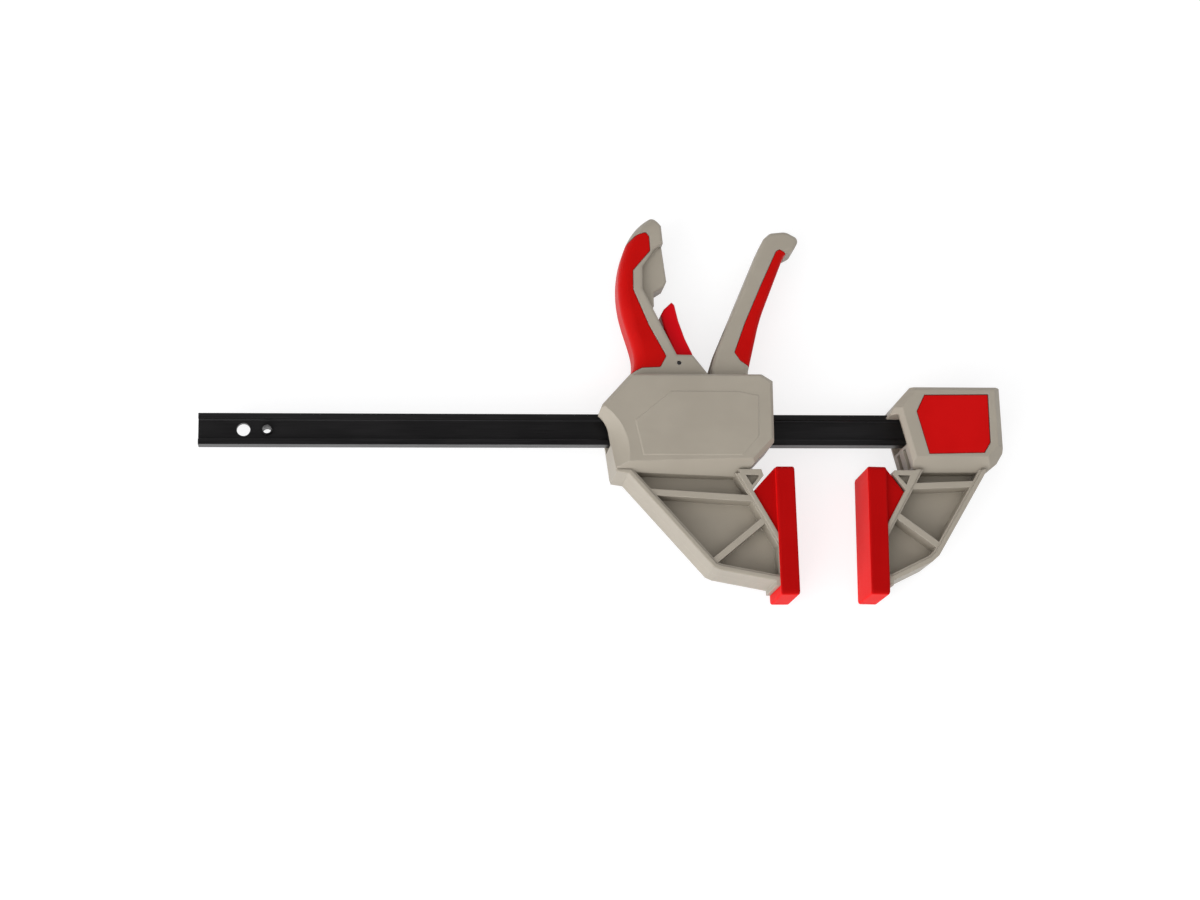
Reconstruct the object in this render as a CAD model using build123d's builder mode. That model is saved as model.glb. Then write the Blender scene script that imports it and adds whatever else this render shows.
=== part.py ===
from build123d import *
from math import atan2, cos, degrees, hypot, radians, sin, tan
import os

os.makedirs("parts", exist_ok=True)

# Quick release bar clamp, lying on its side as on a bench: +X runs along the bar
# towards the fixed jaw, +Y towards the handles and +Z up through the clamp's depth.
# Outlines are drawn in the clamp's mid plane, in millimetres. The bar's outline is
# measured from its rear end, and each head's outline from that head's own rear tip.

# ------------------------------------------------------------ driving dimensions
# Bar: a rolled I section
bar_length = 546.0
bar_height = 22.0
bar_depth = 9.0
bar_flange = 3.7
bar_web = 3.6
bar_root = 1.2
hang_hole_x = 30.6
hang_hole_r = 4.6
stop_x = 46.5
stop_r = 4.0
stop_wall = 1.0
stop_length = 12.5
stop_front = 3.6

# How deep the bar sits in the fixed head, how wide the jaws stand open and how far
# the heads and handles reach
bar_seat = 66.0
jaw_opening = 51.9
fixed_reach = 79.8
head_top = 35.6
fixed_top = 27.1
grip_top = 155.0
tip_fall = 0.7
pad_top = -30.0
pad_height = 90.4

# Depths through the clamp, from side to side
head_depth = 48.0
panel_raise = 0.4
jaw_depth = 40.0
jaw_web = 7.0
pad_depth = 44.0
nose_depth = 36.0
grip_depth = 31.0
guard_depth = 18.0
lever_depth = 25.0
lever_slot = 18.0
trigger_depth = 16.0
gusset_drop = 5.0

# Walls and clearances
wall = 3.5
seat_wall = 3.0
bar_cheek = 5.0
rim = 3.0
rim_step = 1.6
rim_drop = 1.4
rib = 4.4
fit_gap = 0.05
slide_gap = 0.3
mouth_gap = 2.5
play = 0.6
cover_gap = 0.4

# Softened edges
pad_round = 1.4
pad_corner = 3.0
head_round = 1.2
fixed_round = 1.0
jaw_round = 0.8
grip_round = 2.5
back_round = 8.0
guard_round = 2.0
lever_round = 3.0
trigger_round = 1.5
insert_chamfer = 0.4

# Pads: a slab that seats over the jaw's front wall, and the wedge nose that locks it
pad_face_x = 134.7
pad_thickness = 13.3
pad_seat = 4.6
pad_foot = 9.8
toe_drop = 3.2
toe_width = 2.8
nose_top = -0.4
nose_tip = -17.4
sliding_nose = 15.8
sliding_nose_low = -46.3
fixed_nose = 12.6
fixed_nose_low = -40.3
fixed_pad_x = -18.4
fixed_lean = 1.5

# Drive: lever, push pin and the stack of plates that pulls the head along the bar
lever_pivot = (93.0, 20.0)
lever_pin_r = 4.0
lever_boss_r = 8.2
lever_front = 107.0
push_pin = (86.0, 30.0)
push_pin_r = 3.0
push_pin_inset = 1.0
pin_seat = 1.0
plate_count = 3
plate_thickness = 2.6
plate_cant = 4.0
plate_width = 23.0
plate_reach = 18.0
tongue_width = 17.0
tongue_reach = 34.0
drive_wire = 1.6
drive_turns = 4
coil_gap = 0.5

# Brake: release trigger and the stack of plates that locks the head on the bar
trigger_pivot = (57.4, 45.7)
trigger_pin_r = 1.5
trigger_pin_inset = 0.7
trigger_boss_r = 5.2
toe = (46.6, 35.0)
toe_r = 2.0
brake_x = 54.7
brake_count = 2
brake_thickness = 2.0
brake_cant = 6.0
brake_low = 22.0
brake_tongue_width = 14.0
brake_tongue_reach = 38.4
fulcrum_y = 24.0
fulcrum_r = 2.5
brake_wire = 1.0
brake_coil_r = 4.0
brake_turns = 7
peg_length = 4.0

# Fastenings and soft covers
screw_r = 1.75
screw_head_r = 3.2
screw_head_height = 2.6
screw_sink = 0.8
screw_short = 1.5
pilot_past = 1.0
cross_width = 3.6
cross_slot = 0.8
cross_depth = 1.2
boss_r = 4.4
fixed_pin_r = 3.0
fixed_pin_at = [(34.0, 0.0), (56.0, 0.0)]
cover_wall = 1.8
insert_thickness = 2.0
insert_drop = 0.3

# ------------------------------------------------------------ shared places
fixed_x = bar_length - bar_seat
slide_x = fixed_x + fixed_pad_x - jaw_opening - pad_face_x
overall_length = fixed_x + fixed_reach
overall_low = pad_top - pad_thickness * sin(radians(fixed_lean)) - pad_height * cos(radians(fixed_lean))
overall_top = grip_top - tip_fall
bar_mid = Plane((-overall_length / 2, -(overall_top + overall_low) / 2, head_depth / 2))
slide = Plane(bar_mid.from_local_coords((slide_x, 0, 0)))
fixed = Plane(bar_mid.from_local_coords((fixed_x, 0, 0)))

half_bar = bar_height / 2
half_head = head_depth / 2
half_jaw = jaw_depth / 2
half_grip = grip_depth / 2
half_lever = lever_depth / 2
half_trigger = trigger_depth / 2
side_face = half_head - panel_raise
chamber_half = side_face - wall
through = head_depth


def prism(base, points, low, high, mode=Mode.ADD):
    """A block with sharp corners between two depths."""
    with BuildSketch(base.offset(low)) as outline:
        with BuildLine():
            Polyline(*points, close=True)
        make_face()
    extrude(outline.sketch, amount=high - low, mode=mode)


def soft_face(base, corners, grow):
    """A face whose corners are given as x, y and radius, grown outwards all round."""
    with BuildSketch(base) as outline:
        with BuildLine():
            FilletPolyline(*[(x, y) for x, y, r in corners], radius=[r for x, y, r in corners], close=True)
        make_face()
        if grow > 0:
            offset(amount=grow)
    return outline.sketch


def post(base, spots, radius, low, high, mode=Mode.ADD):
    """Round posts, or holes, of one radius between two depths."""
    with BuildSketch(base.offset(low)) as outline:
        with Locations(*spots):
            Circle(radius)
    extrude(outline.sketch, amount=high - low, mode=mode)


def block(base, x_low, x_high, y_low, y_high, half_depth, mode=Mode.ADD):
    """A rectangular block, centred on the clamp's mid plane."""
    prism(base, [(x_low, y_low), (x_high, y_low), (x_high, y_high), (x_low, y_high)],
          -half_depth, half_depth, mode)


def bevel(base, start, end, inset, level, slope=45.0):
    """Slopes both side faces away beyond a crease, inset from an edge that runs anticlockwise."""
    run = (Vector(*end) - Vector(*start)).normalized()
    outward = Vector(run.Y, -run.X, 0)
    for side in (1, -1):
        foot = base.from_local_coords((*start, side * level)) - outward * inset
        normal = outward * sin(radians(slope)) + Vector(0, 0, side * cos(radians(slope)))
        split(bisect_by=Plane(foot, z_dir=normal), keep=Keep.BOTTOM)


def polar(centre, radius, angle):
    """The point on a circle at an angle in degrees."""
    return (centre[0] + radius * cos(radians(angle)), centre[1] + radius * sin(radians(angle)))


def along(start, end, share):
    """The point a share of the way from one point to another."""
    return (start[0] + (end[0] - start[0]) * share, start[1] + (end[1] - start[1]) * share)


def rib_strip(start, end, width):
    """Takes a strip between two points out of the sketch of a pocket, which leaves a rib there."""
    run = Vector(*end) - Vector(*start)
    with Locations(along(start, end, 0.5)):
        Rectangle(run.length, width, rotation=degrees(atan2(run.Y, run.X)), mode=Mode.SUBTRACT)


def trim_root(base, start, end, overlap):
    """Cuts a jaw off level with the foot of its head, less what stays inside the head."""
    run = (Vector(*end) - Vector(*start)).normalized()
    upward = Vector(-run.Y, run.X, 0)
    split(bisect_by=Plane(base.from_local_coords(start) + upward * overlap, z_dir=upward), keep=Keep.BOTTOM)


def ribbed_pocket(base, corners, inset, ribs, low):
    """Hollows both sides of a jaw down to a depth, within its rim and around its ribs."""
    with BuildSketch(base) as pocket:
        with BuildLine():
            Polyline(*corners, close=True)
        make_face()
        offset(amount=-inset, kind=Kind.INTERSECTION)
        for start, end in ribs:
            rib_strip(start, end, rib)
    for side in (1, -1):
        for face in pocket.sketch.faces():
            bed = face.moved(Location((0, 0, side * low)))
            extrude(bed, amount=side * (half_jaw - low), mode=Mode.SUBTRACT)


def gusset_bracket(base, corners, recess):
    """A small bracket in front of a jaw's slanted wall, with a three-cornered recess in each side."""
    prism(base, corners, -half_jaw, half_jaw)
    prism(base, recess, half_jaw - gusset_drop, half_jaw, Mode.SUBTRACT)
    prism(base, recess, -half_jaw, gusset_drop - half_jaw, Mode.SUBTRACT)


# ------------------------------------------------------------ bar and its stop pin
bar_end = Plane(bar_mid.origin, x_dir=(0, 1, 0), z_dir=(1, 0, 0))
groove_height = bar_height - 2 * bar_flange
groove_depth = (bar_depth - bar_web) / 2

with BuildPart() as bar:
    with BuildSketch(bar_end):
        Rectangle(bar_height, bar_depth)
        for side in (1, -1):
            with Locations((0, side * (bar_depth - groove_depth) / 2)):
                RectangleRounded(groove_height, groove_depth, bar_root, mode=Mode.SUBTRACT)
            with Locations((0, side * (bar_depth - bar_root) / 2)):
                Rectangle(groove_height, bar_root, mode=Mode.SUBTRACT)
    extrude(amount=bar_length)
    post(bar_mid, [(hang_hole_x, 0)], hang_hole_r, -bar_depth, bar_depth, Mode.SUBTRACT)
    post(bar_mid, [(stop_x, 0)], stop_r, -bar_depth, bar_depth, Mode.SUBTRACT)
    post(fixed, fixed_pin_at, fixed_pin_r + fit_gap, -bar_depth, bar_depth, Mode.SUBTRACT)

# A rolled spring pin, open along one side
with BuildPart() as stop_pin:
    post(bar_mid, [(stop_x, 0)], stop_r - fit_gap, stop_front - stop_length, stop_front)
    post(bar_mid, [(stop_x, 0)], stop_r - stop_wall, -stop_length, stop_length, Mode.SUBTRACT)
    block(bar_mid, stop_x, stop_x + stop_r, -stop_wall / 2, stop_wall / 2, stop_length, Mode.SUBTRACT)

# ------------------------------------------------------------ pads
# Each pad is drawn from the top of its clamping face back into the jaw. The jaw's front
# wall stands in a seat in the pad's back and ends below in a toe.
lean_x = cos(radians(fixed_lean))
lean_y = sin(radians(fixed_lean))
sliding_pad_plane = Plane(slide.from_local_coords((pad_face_x, pad_top, 0)), x_dir=(-1, 0, 0),
                          z_dir=(0, 0, -1))
fixed_pad_plane = Plane(fixed.from_local_coords((fixed_pad_x, pad_top, 0)), x_dir=(lean_x, -lean_y, 0))
seat_bed = pad_thickness - pad_seat
jaw_low = pad_foot - pad_height
toe_low = jaw_low - toe_drop


def on_sliding_pad(u, v):
    """A point of the sliding pad's own outline, in the sliding head's plane."""
    return (pad_face_x - u, pad_top + v)


def on_fixed_pad(u, v):
    """A point of the leaning pad's own outline, in the fixed head's plane."""
    return (fixed_pad_x + u * lean_x + v * lean_y, pad_top - u * lean_y + v * lean_x)


def seat_top(nose, nose_low):
    """How high the seat reaches, where the nose's lower slope runs on into the pad."""
    return nose_low + (nose_low - nose_tip) / nose * pad_seat


def pad(plane, nose, nose_low):
    """A slab, its nose and the seat for the jaw's front wall."""
    back = pad_thickness
    across = Axis(plane.origin, plane.x_dir)
    block(plane, 0, back, -pad_height, 0, pad_depth / 2)
    fillet(edges().filter_by(across), pad_corner)
    fillet(faces().filter_by(across).edges(), pad_round)
    prism(plane, [(back - fit_gap, nose_low), (back, nose_low), (back + nose - fit_gap, nose_tip),
                  (back, nose_top), (back - fit_gap, nose_top)], -nose_depth / 2, nose_depth / 2)
    prism(plane, [(back, nose_low), (seat_bed - fit_gap, seat_top(nose, nose_low)),
                  (seat_bed - fit_gap, toe_low - fit_gap), (back, toe_low - fit_gap)],
          -half_jaw - fit_gap, half_jaw + fit_gap, Mode.SUBTRACT)


def jaw_toe(base, place):
    """The toe below a jaw's front wall, which stands in the pad's seat."""
    prism(base, [place(pad_thickness + toe_width, jaw_low + rim), place(pad_thickness + toe_width, toe_low),
                 place(seat_bed, toe_low), place(seat_bed, jaw_low + rim)], -half_jaw, half_jaw)


with BuildPart() as sliding_pad:
    pad(sliding_pad_plane, sliding_nose, sliding_nose_low)

with BuildPart() as fixed_pad:
    pad(fixed_pad_plane, fixed_nose, fixed_nose_low)

# ------------------------------------------------------------ sliding head: outline and bevels
# The side walls are scooped out around the bar at the rear, and below the mouth the rear
# wall runs down along the mouth's tangent.
mouth = (-13.6, -8.0)
mouth_r = 20.0
mouth_fall = 8.0
mouth_reach = 13.0
scoop_centre = (-21.3, -21.0)
scoop_r = 41.0
wall_angle = 9.0
tip_angle = 50.0
mouth_foot = polar(mouth, mouth_r, wall_angle)
mouth_tip = polar(mouth, mouth_r, tip_angle)
rear_foot = (10.4, -33.2)
front_foot = (99.5, -36.0)
chin = (103.0, -32.0)
cheek = (118.0, -16.2)
front_low = (121.2, -13.0)
front_high = (122.0, 30.8)
brow = (114.6, head_top)
shoulder = (21.8, head_top)
nape = (1.8, 13.8)
belly_start = (21.0, -27.2)
belly_end = (98.3, -25.1)

with BuildPart() as mouth_scoop:
    scoop_low = side_face - mouth_fall
    scoop_high = half_head + wall
    scoop_share = (scoop_high - scoop_low) / mouth_fall
    with BuildSketch(slide.offset(scoop_low)):
        with Locations(mouth):
            Circle(mouth_r)
    with BuildSketch(slide.offset(scoop_high)):
        with Locations(along(mouth, scoop_centre, scoop_share)):
            Circle(mouth_r + (scoop_r - mouth_r) * scoop_share)
    loft()
    mirror(about=bar_mid)

with BuildPart() as housing_block:
    with BuildSketch(slide.offset(-side_face)) as housing_outline:
        with BuildLine():
            Polyline(mouth_foot, rear_foot, front_foot, chin, cheek, front_low, front_high, brow, shoulder,
                     nape, mouth_tip)
            ThreePointArc(mouth_tip, polar(mouth, mouth_r, (tip_angle + wall_angle) / 2), mouth_foot)
        make_face()
    extrude(amount=2 * side_face)
    bevel(slide, belly_start, belly_end, 0.0, side_face)
    bevel(slide, chin, cheek, 3.0, side_face)
    bevel(slide, cheek, front_low, 2.5, side_face)
    bevel(slide, front_low, front_high, 2.0, side_face)
    bevel(slide, front_high, brow, 2.0, side_face)
    bevel(slide, brow, shoulder, 1.5, side_face)
    bevel(slide, shoulder, nape, 2.5, side_face)
    bevel(slide, nape, mouth_tip, 2.5, side_face)
    fillet(housing_block.faces().filter_by(Axis.Z).edges(), head_round)

# ------------------------------------------------------------ sliding jaw
jaw_root = -22.0
root_overlap = 1.2
nose_apex = on_sliding_pad(pad_thickness + sliding_nose, nose_tip)
nose_foot = on_sliding_pad(pad_thickness, sliding_nose_low)
slope_run = (nose_foot[0] - nose_apex[0]) / (nose_foot[1] - nose_apex[1])
front_head = (nose_foot[0] + (jaw_root - nose_foot[1]) * slope_run, jaw_root)
jaw_corners = [(12.5, jaw_root), (10.6, -33.8), (18.9, -35.1), (75.6, -100.9), (80.0, -102.9),
               on_sliding_pad(pad_thickness + toe_width, jaw_low), on_sliding_pad(seat_bed, jaw_low),
               on_sliding_pad(seat_bed, seat_top(sliding_nose, sliding_nose_low)), front_head]
jaw_ribs = [((20.0, -46.9), (112.0, -53.0)), ((68.0, -103.4), (122.0, -59.9))]
gusset = [(nose_apex[0] - 10.0, -32.0), (nose_apex[0] + 5.9, -32.0), (nose_apex[0] + 7.4, -36.5),
          (nose_apex[0] - 1.0, nose_apex[1] + 0.8), (nose_apex[0] - 3.5, nose_apex[1])]
gusset_recess = [(nose_apex[0] - 5.2, -36.0), (nose_apex[0] + 4.0, -36.0), (nose_apex[0] + 4.2, -37.3),
                 (nose_apex[0] - 0.9, -43.4)]

# ------------------------------------------------------------ grip
rear_curve = [(22.8, 37.0), (26.2, 48.5), (24.4, 60.0), (18.6, 81.0), (16.3, 99.0), (19.2, grip_top - 31.0),
              (27.0, grip_top - 13.3), (42.0, grip_top)]
grip_front = [(48.0, grip_top - 7.5), (49.0, grip_top - 20.5), (43.2, grip_top - 24.6), (34.0, 117.0),
              (33.7, 100.5), (45.0, 76.0), (56.2, 52.2), (67.4, 52.0), (78.0, 37.9), (78.0, 30.0)]
cover_edge = [(36.6, grip_top - 12.9, 2.0), (38.8, grip_top - 16.2, 1.5), (39.2, 128.4, 1.0),
              (26.6, 113.6, 1.5), (26.4, 99.3, 2.0), (36.8, 72.9, 0), (48.3, 50.6, 1.5), (44.0, 42.8, 2.0),
              (30.9, 42.2, 4.0), (22.3, 38.6, 0), (0.0, 35.4, 0), (0.0, 115.0, 0), (23.6, 134.4, 0),
              (30.0, grip_top - 15.0, 3.0)]
guard = [(38.0, 133.0), (48.6, 133.4), (51.4, 107.9), (49.3, 103.9), (42.0, 99.2), (42.0, 85.4),
         (45.0, 76.6), (32.0, 84.0), (30.0, 114.0)]
grip_hollow = [(28.8, 70.0), (25.0, 85.0), (23.4, 101.0), (26.5, 121.0), (33.0, 132.0), (37.0, 130.0),
               (29.5, 113.0), (30.0, 98.0), (37.0, 76.0), (38.6, 70.0)]


def grip_shape(inset, half_depth):
    """The grip between its rear curve, set in by a wall, and its front outline."""
    curve = [(x + inset, y) for x, y in rear_curve]
    with BuildSketch(slide.offset(-half_depth)) as outline:
        with BuildLine():
            Spline(*curve)
            Polyline(curve[-1], *grip_front, (curve[0][0], grip_front[-1][1]), curve[0])
        make_face()
    extrude(outline.sketch, amount=2 * half_depth)


def cover_skin(edge, grow, form, core):
    """The skin of a soft cover: what lies within an edge line, between a form and its core."""
    extrude(soft_face(slide.offset(-through), edge, grow), amount=2 * through)
    add(form.part, mode=Mode.INTERSECT)
    add(core.part, mode=Mode.SUBTRACT)


with BuildPart() as grip_form:
    grip_shape(0.0, half_grip)
    fillet(grip_form.edges().filter_by(GeomType.BSPLINE), back_round)
    fillet(grip_form.faces().filter_by(Axis.Z).edges().filter_by(GeomType.LINE), grip_round)

with BuildPart() as grip_core:
    grip_shape(cover_wall, half_grip - cover_wall)
    fillet(grip_core.edges().filter_by(GeomType.BSPLINE), back_round - cover_wall)

# Soft cover over the back of the grip, with a fine gap around it
with BuildPart() as grip_cover:
    cover_skin(cover_edge, 0.0, grip_form, grip_core)

with BuildPart() as grip_cover_seat:
    cover_skin(cover_edge, cover_gap, grip_form, grip_core)

# ------------------------------------------------------------ sliding head: both halves together
rear_bay_x = 22.0
brake_bay_x = 37.0
seat_wall_x = 59.0
drive_bay_x = seat_wall_x + seat_wall
bay_front = 115.0
bay_corner = 12.0
bay_low = -24.5
bay_high = head_top - wall
rear_bay_high = bay_high - 2.5
slot_low = bay_high - 1.0
slot_high = 62.0
lever_slot_x = 64.0
lever_slot_front = lever_front + 1.5
trigger_slot = [(43.5, slot_low), (lever_slot_x + 1.0, slot_low), (lever_slot_x + 1.0, slot_high),
                (60.0, 90.0), (41.2, 90.0), (41.2, 82.5), (43.6, 73.5), (50.6, 57.4), (43.5, 52.0)]
screws = [(43.0, grip_top - 12.5, half_grip), (41.5, 106.0, guard_depth / 2), (16.0, 21.0, side_face),
          (113.6, 25.6, side_face), (108.3, -15.2, side_face), (27.5, -19.5, side_face)]
face_offset = brake_thickness * brake_count / 2 / cos(radians(brake_cant))
fulcrum_x = brake_x - fulcrum_y * tan(radians(brake_cant)) + face_offset
fulcrum_post = (fulcrum_x + fulcrum_r + slide_gap, fulcrum_y)
brake_coil_y = -(half_bar + coil_gap + brake_coil_r + brake_wire)
panel = [(29.0, -23.0), (98.4, -23.0), (110.5, -9.4), (111.6, 20.0), (97.0, 23.0), (49.6, 23.0), (24.0, 2.0)]
panel_taper = 60.0

with BuildPart() as guard_web:
    prism(slide, guard, -guard_depth / 2, guard_depth / 2)
    fillet(guard_web.faces().filter_by(Axis.Z).edges(), guard_round)

with BuildPart() as head_form:
    prism(slide, jaw_corners, -half_jaw, half_jaw)
    fillet(faces().filter_by(Axis.Z).edges(), jaw_round)
    ribbed_pocket(slide, jaw_corners, rim, [], half_jaw - rim_drop)
    ribbed_pocket(slide, jaw_corners, rim + rim_step, jaw_ribs, jaw_web / 2)
    trim_root(slide, rear_foot, front_foot, root_overlap)
    jaw_toe(slide, on_sliding_pad)
    gusset_bracket(slide, gusset, gusset_recess)
    add(housing_block.part)
    add(mouth_scoop.part, mode=Mode.SUBTRACT)
    for side in (1, -1):
        with BuildSketch(slide.offset(side * side_face)) as raised:
            with BuildLine():
                Polyline(*panel, close=True)
            make_face()
        extrude(raised.sketch, amount=side * panel_raise, taper=panel_taper)
    add(guard_web.part)
    add(grip_form.part)
    # chambers for the brake and the drive, and one behind them
    block(slide, rear_bay_x, brake_bay_x - wall, bay_low, rear_bay_high, chamber_half - wall, Mode.SUBTRACT)
    block(slide, brake_bay_x, seat_wall_x, bay_low, bay_high, chamber_half, Mode.SUBTRACT)
    prism(slide, [(drive_bay_x, bay_low), (bay_front - bay_corner, bay_low),
                  (bay_front, bay_low + bay_corner), (bay_front, bay_high), (drive_bay_x, bay_high)],
          -chamber_half, chamber_half, Mode.SUBTRACT)
    hollow_half = half_grip - cover_wall - wall
    prism(slide, grip_hollow, -hollow_half, hollow_half, Mode.SUBTRACT)
    # screw posts, pivot posts, the brake's fulcrum and its spring's peg
    for x, y, face in screws:
        post(slide, [(x, y)], boss_r if face > half_grip else screw_head_r, -face + wall, face - wall)
    for side in (1, -1):
        post(slide, [lever_pivot], lever_pin_r + wall, side * (half_lever + play),
             side * (chamber_half + fit_gap))
    post(slide, [fulcrum_post], fulcrum_r, -half_lever, half_lever)
    block(slide, fulcrum_post[0], seat_wall_x, fulcrum_y - fulcrum_r, fulcrum_y + fulcrum_r, half_lever)
    with BuildSketch(Plane(slide.from_local_coords((brake_bay_x, brake_coil_y, 0)), x_dir=(0, 1, 0),
                           z_dir=(1, 0, 0))) as peg:
        Circle(brake_coil_r - brake_wire)
    extrude(peg.sketch, amount=peg_length)
    # slots for the lever and the trigger, the way for the bar, and the rear mouth
    block(slide, lever_slot_x, lever_slot_front, slot_low, slot_high, half_lever + play, Mode.SUBTRACT)
    prism(slide, trigger_slot, -half_trigger - play, half_trigger + play, Mode.SUBTRACT)
    block(slide, -mouth_r, slide_x, -half_bar - slide_gap, half_bar + slide_gap, bar_depth / 2 + slide_gap,
          Mode.SUBTRACT)
    block(slide, -mouth_r, mouth_reach, -half_bar - mouth_gap, half_bar + mouth_gap, mouth_reach,
          Mode.SUBTRACT)
    post(slide, [lever_pivot], lever_pin_r + fit_gap, -chamber_half - pin_seat - fit_gap,
         chamber_half + pin_seat + fit_gap, Mode.SUBTRACT)
    post(slide, [trigger_pivot], trigger_pin_r + fit_gap, -through, through, Mode.SUBTRACT)
    add(grip_cover_seat.part, mode=Mode.SUBTRACT)

with BuildPart() as housing_front:
    add(head_form.part)
    split(bisect_by=bar_mid, keep=Keep.TOP)
    for x, y, face in screws:
        post(slide, [(x, y)], screw_r + fit_gap, -through, face - wall - screw_short + pilot_past,
             Mode.SUBTRACT)

with BuildPart() as housing_back:
    add(head_form.part)
    split(bisect_by=bar_mid, keep=Keep.BOTTOM)
    for x, y, face in screws:
        post(slide, [(x, y)], screw_r + fit_gap, -through, through, Mode.SUBTRACT)
        post(slide, [(x, y)], screw_head_r + fit_gap, -through, -face + screw_sink + screw_head_height,
             Mode.SUBTRACT)

with BuildPart() as housing_screws:
    for x, y, face in screws:
        head_low = -face + screw_sink
        post(slide, [(x, y)], screw_head_r, head_low, head_low + screw_head_height)
        post(slide, [(x, y)], screw_r, head_low + screw_head_height, face - wall - screw_short)
        for turn in (0, 90):
            with BuildSketch(slide.offset(head_low)) as cross:
                with Locations((x, y)):
                    Rectangle(cross_width, cross_slot, rotation=turn)
            extrude(cross.sketch, amount=cross_depth, mode=Mode.SUBTRACT)

# ------------------------------------------------------------ drive lever
lever_foot = lever_boss_r - 1.2
lever_corners = [(80.3, 36.0, 0), (80.3, 42.5, 6), (84.9, 56.2, 25), (118.0, 131.2, 12),
                 (122.2, 139.8, 4.5), (127.2, 144.2, 5), (138.5, 145.4, 8), (148.4, 139.9, 4),
                 (143.8, 131.6, 5), (136.5, 127.6, 4), (116.6, 79.0, 140), (lever_front, 41.0, 10),
                 (lever_front - 0.2, 36.0, 0), (lever_pivot[0] + lever_foot, lever_pivot[1], 0),
                 (lever_pivot[0] - lever_foot, lever_pivot[1], 0), (84.8, 33.0, 0)]
insert_edge = [(133.2, 131.4, 1.5), (137.2, 129.0, 0), (152.0, 100.0, 0), (130.0, 43.9, 0),
               (108.2, 43.9, 0), (101.8, 48.4, 2.0), (97.7, 54.5, 1.5), (106.0, 76.2, 0),
               (118.8, 104.7, 0), (130.6, 129.6, 1.0)]
channel = [(70.0, 5.0), (112.0, 5.0), (112.0, 33.0), (101.0, 33.0), (102.4, 45.0), (106.0, 61.0),
           (110.6, 76.0), (70.0, 76.0)]


def lever_shape(inset, half_depth):
    """The lever's outline, with its outer edge set in."""
    shifted = [(x - inset if x > lever_front - 1.0 and y < 130.0 else x, y, r) for x, y, r in lever_corners]
    extrude(soft_face(slide.offset(-half_depth), shifted, 0.0), amount=2 * half_depth)


with BuildPart() as lever_form:
    lever_shape(0.0, half_lever)
    fillet(lever_form.faces().filter_by(Axis.Z).edges(), lever_round)
    post(slide, [lever_pivot], lever_boss_r, -half_lever, half_lever)

with BuildPart() as lever_core:
    lever_shape(cover_wall, half_lever - cover_wall)

# Soft insert along the lever's outer edge, with a fine gap around it
with BuildPart() as lever_grip:
    cover_skin(insert_edge, 0.0, lever_form, lever_core)

with BuildPart() as lever_grip_seat:
    cover_skin(insert_edge, cover_gap, lever_form, lever_core)

with BuildPart() as drive_lever:
    add(lever_form.part)
    prism(slide, channel, -lever_slot / 2, lever_slot / 2, Mode.SUBTRACT)
    post(slide, [lever_pivot], lever_pin_r + fit_gap, -through, through, Mode.SUBTRACT)
    post(slide, [push_pin], push_pin_r + fit_gap, -half_lever + push_pin_inset, half_lever - push_pin_inset,
         Mode.SUBTRACT)
    add(lever_grip_seat.part, mode=Mode.SUBTRACT)

with BuildPart() as lever_pivot_pin:
    post(slide, [lever_pivot], lever_pin_r, -chamber_half - pin_seat, chamber_half + pin_seat)

with BuildPart() as lever_push_pin:
    push_pin_half = half_lever - push_pin_inset - fit_gap
    post(slide, [push_pin], push_pin_r, -push_pin_half, push_pin_half)

# ------------------------------------------------------------ release trigger
trigger_outline = [(54.2, 58.2), (48.6, 74.1), (46.6, 83.2), (48.8, 87.3), (54.6, 92.7), (56.6, 90.8),
                   (59.1, 78.9), (63.3, 65.8), (68.3, 54.6), (67.0, 48.0), (62.0, 43.5), (52.4, 43.5),
                   (47.9, 40.5), (48.2, toe[1]), (toe[0] - toe_r, toe[1]), (toe[0] - toe_r, 41.5),
                   (50.0, 50.0)]

with BuildPart() as release_trigger:
    prism(slide, trigger_outline, -half_trigger, half_trigger)
    blade = release_trigger.faces().filter_by(Axis.Z).edges()
    blade_low = slide.origin.Y + trigger_pivot[1] + trigger_boss_r
    fillet(blade.filter_by_position(Axis.Y, blade_low, slide.origin.Y + grip_top), trigger_round)
    post(slide, [trigger_pivot], trigger_boss_r, -half_trigger, half_trigger)
    post(slide, [toe], toe_r, -half_trigger, half_trigger)
    post(slide, [trigger_pivot], trigger_pin_r + fit_gap, -through, through, Mode.SUBTRACT)

with BuildPart() as trigger_pivot_pin:
    trigger_pin_half = half_grip - trigger_pin_inset
    post(slide, [trigger_pivot], trigger_pin_r, -trigger_pin_half, trigger_pin_half)

# ------------------------------------------------------------ plates that grip the bar
drive_pitch = plate_thickness / cos(radians(plate_cant))
drive_front_x = push_pin[0] - push_pin_r - slide_gap + push_pin[1] * tan(radians(plate_cant))
drive_rear_x = drive_front_x - plate_count * drive_pitch


def canted_plane(x, cant):
    """A plane across the bar, its top leaning to the rear."""
    return Plane(slide.from_local_coords((x, 0, 0)), x_dir=(-sin(radians(cant)), cos(radians(cant)), 0),
                 z_dir=(cos(radians(cant)), sin(radians(cant)), 0))


def grip_plate(x, cant, thickness, low, tongue, top):
    """A plate with a square hole for the bar and a narrower tongue above."""
    hole = (bar_height + 2 * slide_gap + thickness * sin(radians(cant))) / cos(radians(cant))
    with BuildSketch(canted_plane(x, cant).offset(-thickness / 2)) as face:
        with Locations(((plate_reach - low) / 2, 0)):
            Rectangle(plate_reach + low, plate_width)
        with Locations(((plate_reach + top) / 2, 0)):
            Rectangle(top - plate_reach, tongue)
        Rectangle(hole, bar_depth + 2 * slide_gap, mode=Mode.SUBTRACT)
    extrude(face.sketch, amount=thickness)


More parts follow.
